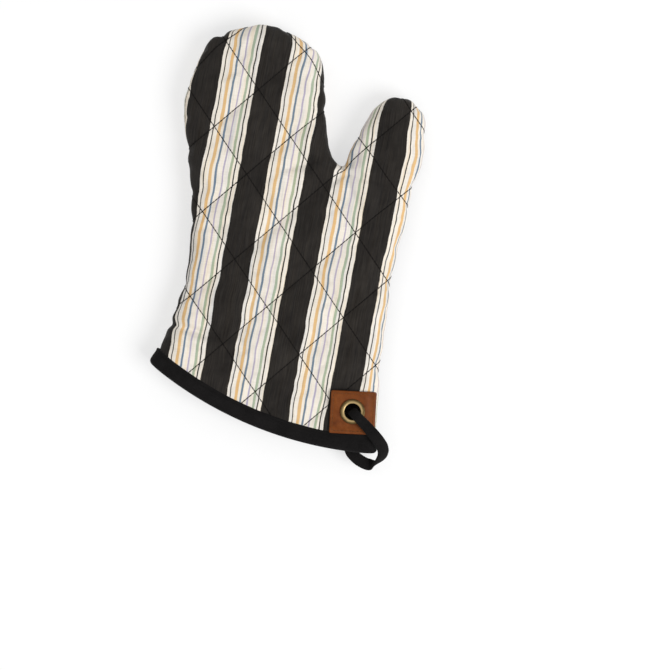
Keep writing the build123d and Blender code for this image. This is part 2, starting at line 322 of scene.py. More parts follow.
def side_line():
    """Side outline from under the cuff, round thumb and fingers and back, and the fingers' top centre."""
    blend = math.radians(finger_blend_angle)
    top_y = tip_y - finger_top_radius
    side_step = finger_side_radius - finger_top_radius
    side_centre = (left_x + finger_side_radius, top_y - side_step * math.sin(blend))
    top_centre = (side_centre[0] + side_step * math.cos(blend), top_y)
    side_rise = side_centre[1] - wrist_left_y
    side_lean = 2 * math.atan2(wrist_left_inset, side_rise)
    palm_radius = side_rise / math.sin(side_lean) - finger_side_radius
    wrist_x = left_x + wrist_left_inset
    thumb_centre = np.array([right_x - thumb_radius, tip_y - thumb_tip_drop - thumb_radius])
    rise = thumb_centre[1] - wrist_right_y
    run = thumb_radius - wrist_right_inset
    right_radius = (run**2 + rise**2 - thumb_radius**2) / (2 * wrist_right_inset)
    right_centre = np.array([right_x - wrist_right_inset + right_radius, wrist_right_y])
    thumb_turn = bearing(right_centre - thumb_centre)
    crotch = np.array([crotch_x, thumb_centre[1] + thumb_radius - crotch_depth])
    top_end = np.array([top_centre[0] + finger_top_radius, top_y])
    drop = crotch - top_end
    index_radius = (drop @ drop) / (2 * drop[0])
    index_centre = top_end + [index_radius, 0]
    back = crotch - thumb_centre
    lean = math.atan2(back[1], back[0]) - math.acos(thumb_radius / np.hypot(*back))
    thumb_start = thumb_centre + thumb_radius * np.array([math.cos(lean), math.sin(lean)])
    along = (thumb_start - crotch) / np.hypot(*(thumb_start - crotch))
    across = np.array([-along[1], along[0]])
    foot = crotch + crotch_radius * across - index_centre
    half = foot @ along
    slide = -half - math.sqrt(half**2 - foot @ foot + (index_radius - crotch_radius) ** 2)
    notch = crotch + crotch_radius * across + slide * along
    from_index = bearing(notch - index_centre) % 360
    foot_turn = math.degrees(math.asin((cuff_y - 2 * binding_width - wrist_right_y) / right_radius))
    flare = math.radians(wrist_flare_angle)
    flare_centre = np.array([wrist_x - wrist_flare_radius, wrist_left_y])
    flare_end = flare_centre + wrist_flare_radius * np.array([math.cos(flare), -math.sin(flare)])
    left_foot = flare_end + wrist_run_on * np.array([-math.sin(flare), -math.cos(flare)])
    runs = [
        arc(right_centre, right_radius, 180 - foot_turn, 180 + thumb_turn),
        arc(thumb_centre, thumb_radius, thumb_turn, math.degrees(lean) % 360),
        np.linspace(thumb_start, notch - crotch_radius * across, 40),
        arc(notch, crotch_radius, bearing(-across), from_index - 360, 0.5),
        arc(index_centre, index_radius, from_index, 180),
        arc(top_centre, finger_top_radius, 0, finger_blend_angle),
        arc(side_centre, finger_side_radius, finger_blend_angle, 180 + math.degrees(side_lean)),
        arc((wrist_x - palm_radius, wrist_left_y), palm_radius, math.degrees(side_lean), 0),
        arc(flare_centre, wrist_flare_radius, 0, -wrist_flare_angle),
        np.linspace(flare_end, left_foot, 90),
    ]
    line = np.vstack(runs)
    apart = np.hypot(*(np.roll(line, -1, axis=0) - line).T) > tolerance
    return line[apart], np.array(top_centre)


side, lattice_centre = side_line()
side_start = side[:-1]
side_run = side[1:] - side[:-1]
side_length = np.hypot(side_run[:, 0], side_run[:, 1])
side_out = np.column_stack([side_run[:, 1], -side_run[:, 0]]) / side_length[:, None]


def edge_distance(points):
    """Distance from points in plan to the side outline, and the outline's outward normal there."""
    distance = np.empty(len(points))
    nearest = np.empty(len(points), int)
    for first in range(0, len(points), chunk):
        part = slice(first, first + chunk)
        away = points[part, None] - side_start
        share = np.clip((away * side_run).sum(2) / side_length**2, 0, 1)
        gap = np.linalg.norm(away - share[:, :, None] * side_run, axis=2)
        nearest[part] = gap.argmin(1)
        distance[part] = gap.min(1)
    return distance, side_out[nearest]


def gap_to(points, ring):
    """Distance of points to the nearest point of a ring."""
    found = np.empty(len(points))
    for first in range(0, len(points), chunk):
        part = slice(first, first + chunk)
        found[part] = np.linalg.norm(points[part, None] - ring, axis=2).min(1)
    return found


def settled(points):
    """Points in plan moved to where the stuffed cloth lies, a little off its cut outline."""
    moved = points.copy()
    for place, shift, reach in settlings:
        near = np.exp(-(((points - place) / reach) ** 2).sum(1))
        moved += near[:, None] * np.array(shift)
    return moved


def ripple(points, scale, seed):
    """Smooth noise from -1 to 1 at points in plan, with a wavelength of about twice scale."""
    return np.array([noise.noise(Vector((p[0] / scale, p[1] / scale, seed))) for p in points])


def crease(points, start, end, width):
    """1 on a line from start to end, fading within two widths of it and lower at its ends."""
    start, end = np.array(start), np.array(end)
    run = end - start
    share = np.clip((points - start) @ run / (run @ run), 0, 1)
    gap = far(points, start + share[:, None] * run)
    return bell(gap, width) * np.sin(math.pi * np.clip(share, 0.04, 0.96)) ** 0.5


def swell(share):
    """Rise of a padded edge from 0 at the seam to 1, by share of its width."""
    return (1 - (1 - share) ** crown_power) ** (1 / crown_power)


def near_tab(points):
    """1 round the leather tab, 0 well away from it."""
    return 1 - smooth(far(points, eyelet), 30, 75)


def crown(points, distance):
    """Height of the padded form above the seam as a share of half the thickness, from 0 to 1."""
    width = crown_width + (tab_crown_width - crown_width) * near_tab(points)
    return swell(np.clip(distance / width, 0, 1))


def front_form(points, distance):
    """Height of the front panel without its quilting."""
    calm = 1 - near_tab(points)
    body = calm * smooth(cuff_radius - far(points, cuff_centre), 5, 60)
    dome = dome_height * (1 - bell(distance, dome_reach)) * body
    soft = 2.0 * ripple(points, 46, 2.3) + 1.0 * ripple(points, 21, 7.1)
    fold = sum(height * crease(points, start, end, width) for height, start, end, width in front_creases)
    fold += sum(height * bell(far(points, place), width) for height, place, width in front_swells)
    shape = (half_thickness + dome) * crown(points, distance)
    return half_thickness + shape + (soft * calm * body + fold) * smooth(distance, 0, 16)


def back_form(points, distance):
    """Height of the back panel without its quilting."""
    return half_thickness * (1 - crown(points, distance))


def quilt_places(points):
    """Distance from the nearest line of each family of quilting, distance along it, and its number."""
    found = []
    for way, square in quilt_ways:
        across = (points - lattice_centre) @ square
        line = np.round(across / quilt_spacing)
        found.append((np.abs(across - line * quilt_spacing), (points - lattice_centre) @ way, line))
    return found


def quilting(points, distance, seed):
    """How far the quilting pulls the cloth in, with the small gathers along each line."""
    there = smooth(tape_edge - far(points, cuff_centre), -6, 10) * smooth(distance, 0.5, 9)
    families = quilt_places(points)
    puff = np.prod([1 - np.exp(-gap / groove_reach) for gap, _, _ in families], axis=0)
    pull = -groove_depth * (1 - puff)
    for gap, along, line in families:
        place = np.column_stack([along, line * 37.0 + gap * 0.25])
        gather = 0.7 * ripple(place, 4.2, seed) + 0.5 * ripple(place, 8.5, seed + 3)
        pull += gather * np.exp(-gap / 6.5) * (1 - np.exp(-gap / 1.2))
    return pull * there


def inside(points, ring):
    """Which points lie in a closed ring."""
    found = np.zeros(len(points), bool)
    x, y = points[:, 0], points[:, 1]
    for (ax, ay), (bx, by) in zip(ring, np.roll(ring, -1, axis=0)):
        if ay == by:
            continue
        cross = (ay > y) != (by > y)
        found ^= cross & (x < (bx - ax) * (y - ay) / (by - ay) + ax)
    return found


def panel_ring(inset, reach, step):
    """Side run and cuff run of a panel's edge, moved in from the side, its cuff at a reach."""
    line = side - inset * np.vstack([side_out, side_out[-1:]])
    away = far(line, cuff_centre) - reach

    def crossing(k):
        share = away[k] / (away[k] - away[k + 1])
        return line[k] + share * (line[k + 1] - line[k])

    within = np.flatnonzero(away < 0)
    first, last = within[0], within[-1]
    head, tail = crossing(first - 1), crossing(last)
    sides = np.vstack([head, line[first : last + 1], tail])
    cuff = arc(cuff_centre, reach, bearing(tail - cuff_centre), bearing(head - cuff_centre))
    return spaced(sides, step), spaced(cuff, step)


def whole_ring(inset, reach, step):
    """The whole closed edge of a panel."""
    return np.vstack([part[:-1] for part in panel_ring(inset, reach, step)])


def plan_mesh(ring, loose, holes=()):
    """Flat mesh inside a ring, with loose points in it: quads where the points make them."""
    points = [Vector(p) for p in np.vstack([ring, loose])]
    found = delaunay_2d_cdt(points, [], [list(range(len(ring)))], 1, 1e-4)
    flat = bmesh.new()
    verts = [flat.verts.new((p.x, p.y, 0)) for p in found[0]]
    for corners in found[2]:
        middle = sum((found[0][k] for k in corners), Vector((0, 0))) / len(corners)
        if any((middle - Vector(centre)).length < radius for centre, radius in holes):
            continue
        flat.faces.new([verts[k] for k in corners])
    loose_verts = [v for v in flat.verts if not v.link_faces]
    bmesh.ops.delete(flat, geom=loose_verts, context="VERTS")
    limit = math.radians(50)
    limits = {"angle_face_threshold": limit, "angle_shape_threshold": limit}
    bmesh.ops.join_triangles(flat, faces=flat.faces[:], **limits)
    for f in flat.faces:
        if f.normal.z < 0:
            f.normal_flip()
    return flat


def panel_mesh(inset, reach, step, front):
    """Flat mesh of a panel, its cells in line with the quilting; the front has a hole for the barrel."""
    ring = whole_ring(inset, reach, step)
    count = int(mesh_reach / step)
    rows = np.arange(-count, count + 1) * step
    a, b = np.meshgrid(rows, rows)
    x, y = (b - a) / (2 * math.sin(quilt_turn)), (a + b) / (2 * math.cos(quilt_turn))
    grid = np.column_stack([x.ravel(), y.ravel()]) + lattice_centre
    grid = grid[((grid > ring.min(0)) & (grid < ring.max(0))).all(1)]
    grid = grid[inside(grid, ring)]
    grid = grid[gap_to(grid, ring) > 0.62 * step]
    for inner in seam_rings if inset == 0 else ():
        row = panel_ring(inner, reach - 0.8, step)[0]
        grid = np.vstack([grid[gap_to(grid, row) > 0.6 * step], row])
    if not front:
        return plan_mesh(ring, grid)
    rim = arc(eyelet, barrel_hole, 0, 360, 1.2)[:-1]
    grid = grid[far(grid, eyelet) > barrel_hole + 0.6 * step]
    return plan_mesh(ring, np.vstack([rim, grid]), holes=((eyelet, barrel_hole - tolerance),))


def link(obj):
    bpy.context.scene.collection.objects.link(obj)
    return obj


def made(name, flat, materials, outward=False):
    """An object from a bmesh in millimetres, smooth shaded."""
    if outward:
        bmesh.ops.recalc_face_normals(flat, faces=flat.faces[:])
    mesh = bpy.data.meshes.new(name)
    bmesh.ops.scale(flat, vec=(MM, MM, MM), verts=flat.verts[:])
    for f in flat.faces:
        f.smooth = True
    flat.to_mesh(mesh)
    flat.free()
    for m in materials:
        mesh.materials.append(m)
    return link(bpy.data.objects.new(name, mesh))


def plan_of(flat):
    return np.array([v.co[:2] for v in flat.verts])


def set_places(flat, plan, heights):
    for v, p, z in zip(flat.verts, plan, heights):
        v.co = (p[0], p[1], z)


def turned(flat):
    """The same mesh facing down."""
    bmesh.ops.reverse_faces(flat, faces=flat.faces[:])


def skin(flat, rings):
    """Quads between each ring of points and the next."""
    for first, second in zip(rings, rings[1:]):
        for k in range(len(first)):
            nxt = (k + 1) % len(first)
            flat.faces.new([first[k], second[k], second[nxt], first[nxt]])


def soften(obj):
    """One level of subdivision."""
    soft = obj.modifiers.new("soft", "SUBSURF")
    soft.levels = soft.render_levels = 1


def thicken(obj, thickness, rim=0):
    """An inward thickness; rim is the number of the material on its cut edge."""
    solid = obj.modifiers.new("solid", "SOLIDIFY")
    solid.thickness = thickness * MM
    solid.offset = -1
    solid.material_offset_rim = rim


def node(tree, kind, inputs=None, **values):
    """A shader node with its settings; an input is a value or another node's socket."""
    made_node = tree.nodes.new(kind)
    for key, value in values.items():
        setattr(made_node, key, value)
    for key, value in (inputs or {}).items():
        if isinstance(value, bpy.types.NodeSocket):
            tree.links.new(value, made_node.inputs[key])
        else:
            made_node.inputs[key].default_value = value
    return made_node


def shader(name, **sockets):
    """A new material, its tree and its principled shader."""
    mat = bpy.data.materials.new(name)
    mat.use_nodes = True
    bsdf = mat.node_tree.nodes["Principled BSDF"]
    for key, value in sockets.items():
        bsdf.inputs[key.replace("_", " ")].default_value = value
    return mat, mat.node_tree, bsdf


def maths(tree, operation, a, b=0.0):
    return node(tree, "ShaderNodeMath", {0: a, 1: b}, operation=operation).outputs[0]


def summed(tree, *terms):
    """Sum of values, each times its weight."""
    parts = [maths(tree, "MULTIPLY", value, weight) for value, weight in terms]
    total = parts[0]
    for part in parts[1:]:
        total = maths(tree, "ADD", total, part)
    return total


def placed(tree, where, scale=(1, 1, 1), turn=(0, 0, 0)):
    """Places scaled, then turned about each axis."""
    inputs = {"Vector": where, "Scale": scale, "Rotation": turn}
    return node(tree, "ShaderNodeMapping", inputs).outputs[0]


def speckle(tree, where, scale, detail=3.0, rough=0.6):
    inputs = {"Vector": where, "Scale": scale, "Detail": detail, "Roughness": rough}
    return node(tree, "ShaderNodeTexNoise", inputs).outputs["Fac"]


def streaks(tree, where, scale, detail=2.0, turn=(0, 0, 0)):
    """Noise of a different fineness on each axis."""
    return speckle(tree, placed(tree, where, scale, turn), 1.0, detail)


def ramp(tree, value, stops, interpolation="LINEAR"):
    """Colours at places along a value."""
    made_node = node(tree, "ShaderNodeValToRGB", {"Fac": value})
    made_node.color_ramp.interpolation = interpolation
    elements = made_node.color_ramp.elements
    while len(elements) < len(stops):
        elements.new(0.5)
    for element, (place, colour) in zip(elements, stops):
        element.position = place
        element.color = (*colour, 1)
    return made_node.outputs["Color"]


def spread(tree, value, low, high, start=0.0, end=1.0):
    """A value from start to end moved to run from low to high."""
    inputs = {"Value": value, "From Min": start, "From Max": end, "To Min": low, "To Max": high}
    return node(tree, "ShaderNodeMapRange", inputs).outputs["Result"]


def mixed(tree, share, a, b, blend="MIX"):
    """Two colours mixed; the numbers are those of the node's colour sockets."""
    return node(tree, "ShaderNodeMix", {0: share, 6: a, 7: b}, data_type="RGBA", blend_type=blend).outputs[2]


def coat(tree, bsdf, colour, rough, height, depth, strength):
    """Colour, roughness and a bump of a depth in millimetres."""
    inputs = {"Height": height, "Distance": depth * MM, "Strength": strength}
    normal = node(tree, "ShaderNodeBump", inputs).outputs["Normal"]
    for socket, value in (("Base Color", colour), ("Roughness", rough), ("Normal", normal)):
        tree.links.new(value, bsdf.inputs[socket])


def weave(tree, where, pitch, slant=0.0):
    """Height of crossing threads of a pitch in millimetres; slant makes it a twill."""
    scale = 1 / (pitch * MM) / wave_bands
    lines = []
    for lean in (slant, slant + 90):
        along = placed(tree, where, turn=(0, 0, math.radians(lean)))
        inputs = {"Vector": along, "Scale": scale, "Distortion": 0.4, "Detail": 1.0}
        lines.append(node(tree, "ShaderNodeTexWave", inputs).outputs["Fac"])
    return maths(tree, "MAXIMUM", *lines)


def cloth_place(tree):
    return node(tree, "ShaderNodeUVMap", uv_map="cloth").outputs["UV"]


def body_place(tree):
    return node(tree, "ShaderNodeTexCoord").outputs["Object"]


def seen_rays(tree):
    """1 for what the camera sees, by itself or in metal or glass, and 0 for the light on the object."""
    rays = node(tree, "ShaderNodeLightPath").outputs
    seen = maths(tree, "MAXIMUM", rays["Is Camera Ray"], rays["Is Glossy Ray"])
    return maths(tree, "MAXIMUM", seen, rays["Is Transmission Ray"])


# Bands to a unit of length in a wave texture of scale 1
wave_bands = 3.1831

cream = (0.83, 0.775, 0.69)
black = (0.0075, 0.0062, 0.0056)
slate = (0.16, 0.22, 0.29)
ochre = (0.72, 0.47, 0.22)
sage = (0.38, 0.45, 0.33)
lilac = (0.48, 0.42, 0.52)
# Stripes of one repeat, as width and colour
stripes = (
    (23.0, black), (2.2, cream), (1.0, black), (3.0, cream), (2.4, ochre), (2.0, cream), (1.6, slate),
    (4.2, cream), (1.2, lilac), (3.6, cream), (2.0, sage), (1.8, cream), (1.0, black), (3.0, cream),
)
stripe_period = 52.0
stripe_start = 0.917
stripe_lean = 2.5
stripe_wander = 0.28


def stripe_cotton():
    """Woven stripe: broad black and cream bands, with fine dyed lines in the cream."""
    sheen = {"Sheen_Weight": 0.09, "Sheen_Roughness": 0.45}
    mat, tree, bsdf = shader("stripe_cotton", Specular_IOR_Level=0.1, **sheen)
    place = cloth_place(tree)
    grain = placed(tree, place, turn=(0, 0, math.radians(stripe_lean)))
    across = node(tree, "ShaderNodeSeparateXYZ", {"Vector": grain}).outputs["X"]
    across = summed(tree, (across, 1.0), (speckle(tree, grain, 420.0, 2.0), stripe_wander * MM))
    repeats = maths(tree, "DIVIDE", across, stripe_period * MM)
    bands = maths(tree, "FRACT", maths(tree, "ADD", repeats, stripe_start))
    starts = np.cumsum([0.0, *(width for width, _ in stripes)]) / stripe_period
    colour = ramp(tree, bands, [(at, dye) for at, (_, dye) in zip(starts, stripes)], "CONSTANT")
    warp, weft = streaks(tree, place, (1900, 45, 1)), streaks(tree, place, (60, 1700, 1))
    slub = summed(tree, (warp, 0.6), (weft, 0.4))
    yarn = ramp(tree, slub, [(0.25, (0.78, 0.77, 0.76)), (0.6, (1.0, 1.0, 1.0))])
    colour = mixed(tree, 1.0, colour, yarn, "MULTIPLY")
    colour = mixed(tree, spread(tree, slub, 0.0, 0.02), colour, (0.34, 0.31, 0.28, 1))
    tints = [(0.3, (0.83, 0.87, 0.95)), (0.5, (1, 1, 1)), (0.7, (1.0, 0.93, 0.82))]
    wash = ramp(tree, streaks(tree, grain, (330, 9, 1), 3.0), tints)
    colour = mixed(tree, 1.0, colour, wash, "MULTIPLY")
    flecks = streaks(tree, grain, (1250, 42, 1), 3.0)
    fading = summed(tree, (flecks, 0.6), (speckle(tree, place, 38.0, 4.0), 0.4))
    faded = ramp(tree, fading, [(0.36, (0.0, 0.0, 0.0)), (0.66, (0.021, 0.0185, 0.0158))])
    colour = mixed(tree, 1.0, colour, faded, "ADD")
    height = summed(tree, (weave(tree, place, 0.6), 1.0), (slub, 1.2))
    coat(tree, bsdf, colour, spread(tree, slub, 0.72, 0.95), height, 0.12, 0.55)
    return mat


def plain_cotton(name, colour, fleck, pitch, slant, depth):
    """Cotton of one colour with its threads, flecks and faint wear."""
    mat, tree, bsdf = shader(name, Sheen_Weight=0.02, Sheen_Roughness=0.5, Specular_IOR_Level=0.05)
    where = cloth_place(tree)
    dust = speckle(tree, where, 900.0)
    tone = summed(tree, (dust, 0.5), (speckle(tree, where, 60.0), 0.5))
    height = summed(tree, (weave(tree, where, pitch, slant), 1.0), (dust, 0.8))
    shade = ramp(tree, tone, [(0.32, colour), (0.72, fleck)])
    coat(tree, bsdf, shade, spread(tree, dust, 0.7, 0.95), height, depth, 0.6)
    return mat


def spun_thread(name, colour, fleck):
    """Twisted sewing thread."""
    mat, tree, bsdf = shader(name, Sheen_Weight=0.01, Specular_IOR_Level=0.05)
    where = body_place(tree)
    inputs = {"Vector": placed(tree, where, turn=(0.6, 0.5, 0.7)), "Scale": 620.0, "Distortion": 1.5}
    twist = node(tree, "ShaderNodeTexWave", inputs).outputs["Fac"]
    fuzz = speckle(tree, where, 2200.0, 2.0)
    tone = summed(tree, (twist, 0.5), (fuzz, 0.5))
    shade = ramp(tree, tone, [(0.25, colour), (0.85, fleck)])
    coat(tree, bsdf, shade, spread(tree, fuzz, 0.55, 0.85), tone, 0.12, 0.6)
    return mat


def fibre_fill():
    """Lofty fibre padding."""
    mat, tree, bsdf = shader("fibre_fill", Sheen_Weight=0.3)
    tufts = speckle(tree, body_place(tree), 260.0, 6.0, 0.75)
    shade = ramp(tree, tufts, [(0.3, (0.72, 0.70, 0.66)), (0.7, (0.88, 0.87, 0.84))])
    coat(tree, bsdf, shade, spread(tree, tufts, 0.8, 1.0), tufts, 0.8, 0.7)
    return mat


def tan_leather(name, dark, mid, light, pores):
    """Waxed leather with pores, creases and uneven dye."""
    mat, tree, bsdf = shader(name, Specular_IOR_Level=0.13)
    where = body_place(tree)
    dye = speckle(tree, where, 95.0, 5.0, 0.65)
    cells = node(tree, "ShaderNodeTexVoronoi", {"Vector": where, "Scale": pores}, feature="DISTANCE_TO_EDGE")
    lines = spread(tree, cells.outputs["Distance"], 0.0, 1.0, end=0.18)
    grain = summed(tree, (lines, 0.6), (speckle(tree, where, 1500.0, 4.0), 0.6))
    shade = ramp(tree, dye, [(0.28, dark), (0.5, mid), (0.74, light)])
    shade = mixed(tree, spread(tree, grain, 0.28, 0.0), shade, (*dark, 1))
    coat(tree, bsdf, shade, spread(tree, grain, 0.62, 0.42), grain, 0.14, 0.5)
    return mat


# Rings of painted highlight and painted shade on the brass, with rubbed wear on its crown, from just inside
# the eyelet's bore to just outside its flange
painted_ring_start = 6.4
painted_ring_end = 10.1
painted_rings_and_wear = ((0.0, 0.6), (0.2, 0.95), (0.42, 0.6), (0.68, 0.2), (1.0, 0.0))


def old_brass():
    """Darkened brass, rubbed bright on its raised rims, with rings of painted highlight and painted shade
    across its flange.
    """
    mat, tree, bsdf = shader("old_brass", Metallic=1.0)
    where = body_place(tree)
    patina = speckle(tree, where, 320.0, 5.0, 0.7)
    marks = streaks(tree, where, (3000, 500, 900), turn=(0, 0, 0.7))
    rubbed = node(tree, "ShaderNodeNewGeometry").outputs["Pointiness"]
    bright = spread(tree, rubbed, 0.0, 1.0, 0.48, 0.56)
    axis = (eyelet_x * MM, eyelet_y * MM, 0)
    off_axis = node(tree, "ShaderNodeVectorMath", {0: where, 1: axis}, operation="SUBTRACT").outputs[0]
    level = node(tree, "ShaderNodeVectorMath", {0: off_axis, 1: (1, 1, 0)}, operation="MULTIPLY").outputs[0]
    radius = node(tree, "ShaderNodeVectorMath", {0: level}, operation="LENGTH").outputs["Value"]
    # Painted highlight and painted shade in rings across the flange, with rubbed wear on its crown
    across = spread(tree, radius, 0.0, 1.0, painted_ring_start * MM, painted_ring_end * MM)
    ring_highlight_and_shade = ramp(tree, across, [(at, (grey,) * 3) for at, grey in painted_rings_and_wear])
    tone = summed(tree, (patina, 0.45), (bright, 0.2), (ring_highlight_and_shade, 0.72))
    stops = [(0.25, (0.035, 0.022, 0.008)), (0.5, (0.13, 0.088, 0.036)), (0.8, (0.38, 0.275, 0.13))]
    height = maths(tree, "ADD", marks, patina)
    coat(tree, bsdf, ramp(tree, tone, stops), spread(tree, marks, 0.2, 0.42), height, 0.05, 0.4)
    return mat


black_cotton = ((0.0035, 0.0032, 0.0032), (0.013, 0.012, 0.012))
lining_tones = ((0.018, 0.0175, 0.017), (0.052, 0.050, 0.049))
face_tones = ((0.085, 0.019, 0.002), (0.15, 0.038, 0.005), (0.21, 0.060, 0.011))
edge_tones = ((0.13, 0.045, 0.015), (0.26, 0.11, 0.045), (0.36, 0.18, 0.085))

print_cotton = stripe_cotton()
lining_cotton = plain_cotton("lining_cotton", *lining_tones, 0.7, 0.0, 0.12)
binding_cotton = plain_cotton("binding_cotton", *black_cotton, 0.55, 0.0, 0.12)
loop_cotton = plain_cotton("loop_cotton", *black_cotton, 0.7, 45.0, 0.15)
thread_dark = spun_thread("thread_dark", (0.003, 0.0027, 0.0024), (0.010, 0.0088, 0.008))
thread_brown = spun_thread("thread_brown", (0.085, 0.028, 0.008), (0.2, 0.08, 0.03))
batting_fill = fibre_fill()
leather_face = tan_leather("leather_face", *face_tones, 900.0)
leather_edge = tan_leather("leather_edge", *edge_tones, 1600.0)
brass = old_brass()


def dress(obj, body, slot, *nodes):
    """A piece attached to its body in place of the solids it stands for, which are hidden; slot, the name of
    its finish, is not used.
    """
    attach(obj, body)
    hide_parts(*nodes)
    return obj


def flat_places(points, distance, out):
    """Place of each point on the flat cut cloth, which runs on where the form turns down to the seam."""
    steps = np.linspace(0, crown_width, 200)
    rise = half_thickness * swell(steps / crown_width)
    longer = np.hypot(np.diff(steps), np.diff(rise)) - np.diff(steps)
    extra = np.concatenate([np.cumsum(longer[::-1])[::-1], [0]])
    in_crotch = bell(far(points, crotch_foot), crotch_reach)
    return points + out * (np.interp(distance, steps, extra) * (1 - 0.8 * in_crotch))[:, None]


def set_cloth_map(obj, places):
    """The cloth's own map, in metres, from a place for each vertex."""
    layer = obj.data.uv_layers.new(name="cloth")
    corners = np.empty(len(obj.data.loops), int)
    obj.data.loops.foreach_get("vertex_index", corners)
    layer.uv.foreach_set("vector", (places[corners] * MM).astype(np.float32).ravel())


def puffed(obj, held):
    """The cloth swelled by its padding between the rows that hold it, with its ease in small folds."""
    group = obj.vertex_groups.new(name="held")
    for k in np.flatnonzero(held > 0.01):
        group.add([int(k)], float(held[k]), "REPLACE")
    before = np.array([v.co[:] for v in obj.data.vertices])
    cloth = obj.modifiers.new("cloth", "CLOTH")
    for key, value in cloth_settings.items():
        setattr(cloth.settings, key, value)
    cloth.settings.effector_weights.gravity = 0
    cloth.collision_settings.use_collision = False
    cloth.collision_settings.use_self_collision = False
    cloth.point_cache.frame_start = 1
    cloth.point_cache.frame_end = cloth_frames
    scene = bpy.context.scene
    for step in range(1, cloth_frames + 1):
        scene.frame_set(step)
    shown = obj.evaluated_get(bpy.context.evaluated_depsgraph_get())
    move = np.array([v.co[:] for v in shown.data.vertices]) - before
    size = np.linalg.norm(move, axis=1)
    move *= np.minimum(1, cloth_cap * MM / np.maximum(size, 1e-9))[:, None]
    obj.modifiers.remove(cloth)
    obj.vertex_groups.remove(group)
    scene.frame_set(1)
    obj.data.vertices.foreach_set("co", (before + move).astype(np.float32).ravel())
    obj.data.update()


def panel_heights(points, distance, front):
    """Height of a printed panel with its quilting, with a shoulder at the seam and room for the tape."""
    shoulder = seam_shoulder * np.exp(-distance / 0.8)
    if front:
        return front_form(points, distance) + quilting(points, distance, 1.7) + shoulder
    heights = back_form(points, distance) - 0.8 * quilting(points, distance, 11.2)
    room = tape_room * smooth(far(points, cuff_centre), tape_edge - 4, tape_edge)
    return np.maximum(heights, room) - shoulder


def drawn_in(points, distance):
    """How far the edge is drawn in by puckers of the seam, by the quilting and by two folds."""
    slanted = np.column_stack([points.sum(1) * 0.5, points[:, 0] - points[:, 1]])
    pucker = 0.8 * ripple(slanted, 9.0, 4.4)
    pinch = sum(bell(gap, 3.5) for gap, _, _ in quilt_places(points))
    inward = np.exp(-distance / 5.0) * (0.1 + 0.8 * pucker + 1.4 * pinch)
    inward += 2.6 * bell(np.linalg.norm((points - wrist_fold) / [16, 3.0], axis=1), 1)
    return inward + 2.0 * bell(far(points, finger_notch), 4.0)


def held_share(points, distance, front):
    """1 where the quilting, the seam, the tape or the tab holds the cloth, 0 where it is free."""
    held = (np.min([gap for gap, _, _ in quilt_places(points)], axis=0) < 0.3 * quilt_step).astype(float)
    held = np.maximum(held, (distance < 0.6) | (far(points, cuff_centre) > tape_edge - 1))
    if front:
        held = np.maximum(held, 1 - smooth(np.abs(points - eyelet).max(1), 19, 24))
    return held


def lip_root(vert, count):
    """Number of the panel's own point that a turned-in point was drawn from."""
    ends = [e.other_vert(vert).index for e in vert.link_edges]
    return next(k for k in ends if 0 <= k < count)


def quilted_panel(name, front):
    """Printed panel with its quilting, its edge turned in at the seam."""
    flat = panel_mesh(0.0, cuff_radius - cloth_cuff_gap, quilt_step, front)
    points = plan_of(flat)
    distance, out = edge_distance(points)
    drawn = [ripple(points, 17, seed) + 0.5 * ripple(points, 7, seed + 2) for seed in (71.0, 77.0)]
    places = flat_places(points, distance, out) + 0.8 * np.column_stack(drawn)
    moved = settled(points - out * drawn_in(points, distance)[:, None])
    set_places(flat, moved, panel_heights(points, distance, front))
    edges = [e for e in flat.edges if e.is_boundary and max(distance[v.index] for v in e.verts) < 0.5]
    lip = bmesh.ops.extrude_edge_only(flat, edges=edges)
    flat.verts.index_update()
    lips = [g for g in lip["geom"] if isinstance(g, bmesh.types.BMVert)]
    roots = [lip_root(v, len(points)) for v in lips]
    lip_out = out[roots] * seam_lip
    lip_height = half_thickness + (seam_gap if front else -seam_gap)
    for v, o in zip(lips, lip_out):
        v.co = (v.co.x - o[0], v.co.y - o[1], lip_height)
    places = np.vstack([places, places[roots] + lip_out])
    if not front:
        turned(flat)
    obj = made(name, flat, [print_cotton])
    set_cloth_map(obj, places * ([1, 1] if front else [-1, 1]))
    puffed(obj, np.concatenate([held_share(points, distance, front), np.ones(len(lips))]))
    if not front:
        for v in obj.data.vertices:
            v.co.z = max(v.co.z, resting_height * MM)
    return obj


def inner_panel(name, front, inset, cuff_gap, step, depth, tuck, material, seed):
    """Hidden or inner layer at a depth under the outer cloth's form, tucked back under the cuff's tape."""
    flat = panel_mesh(inset, cuff_radius - cuff_gap, step, front)
    points = plan_of(flat)
    distance, _ = edge_distance(points)
    room = np.maximum(distance - inset, 0)
    wave = 0.4 * ripple(points, 15, seed) + 0.5 * ripple(points, 37, seed + 5)
    under_tape = 1 - smooth(cuff_radius - far(points, cuff_centre), binding_width, binding_width + 12)
    wave *= smooth(room, 2, 20) * (1 - near_tab(points)) * (1 - under_tape)
    wave += tuck * under_tape * smooth(room, 0, 3) - 0.4
    slim = (half_thickness - depth) / half_thickness
    if front:
        rise = (front_form(points, room) - half_thickness) * slim
        rise = np.minimum(rise, front_form(points, distance) - half_thickness - depth)
    else:
        rise = (half_thickness - back_form(points, room)) * slim
    rise = np.maximum(rise + wave, 0.2 * smooth(room, 0, 1))
    set_places(flat, settled(points), half_thickness + (rise if front else -rise))
    if not front:
        turned(flat)
    obj = made(name, flat, [material])
    set_cloth_map(obj, points)
    return obj


cloths = {}
for name, front, replaced, fill in (
    ("front_cloth", True, "outer_front", 0.5),
    ("back_cloth", False, "outer_back", 0.4),
):
    cloths[front] = quilted_panel(name, front)
    soften(cloths[front])
    thicken(cloths[front], cloth_thickness)
    dress(cloths[front], "mitt", "print_cotton", replaced)

for name, front, replaced in (("front_fill", True, "batting_front"), ("back_fill", False, "batting_back")):
    padding = inner_panel(
        name, front, fill_inset, fill_cuff_gap, fill_cell, fill_depth, 0.0, batting_fill, 21.0
    )
    thicken(padding, fill_thickness)
    dress(padding, "mitt", "batting", replaced)

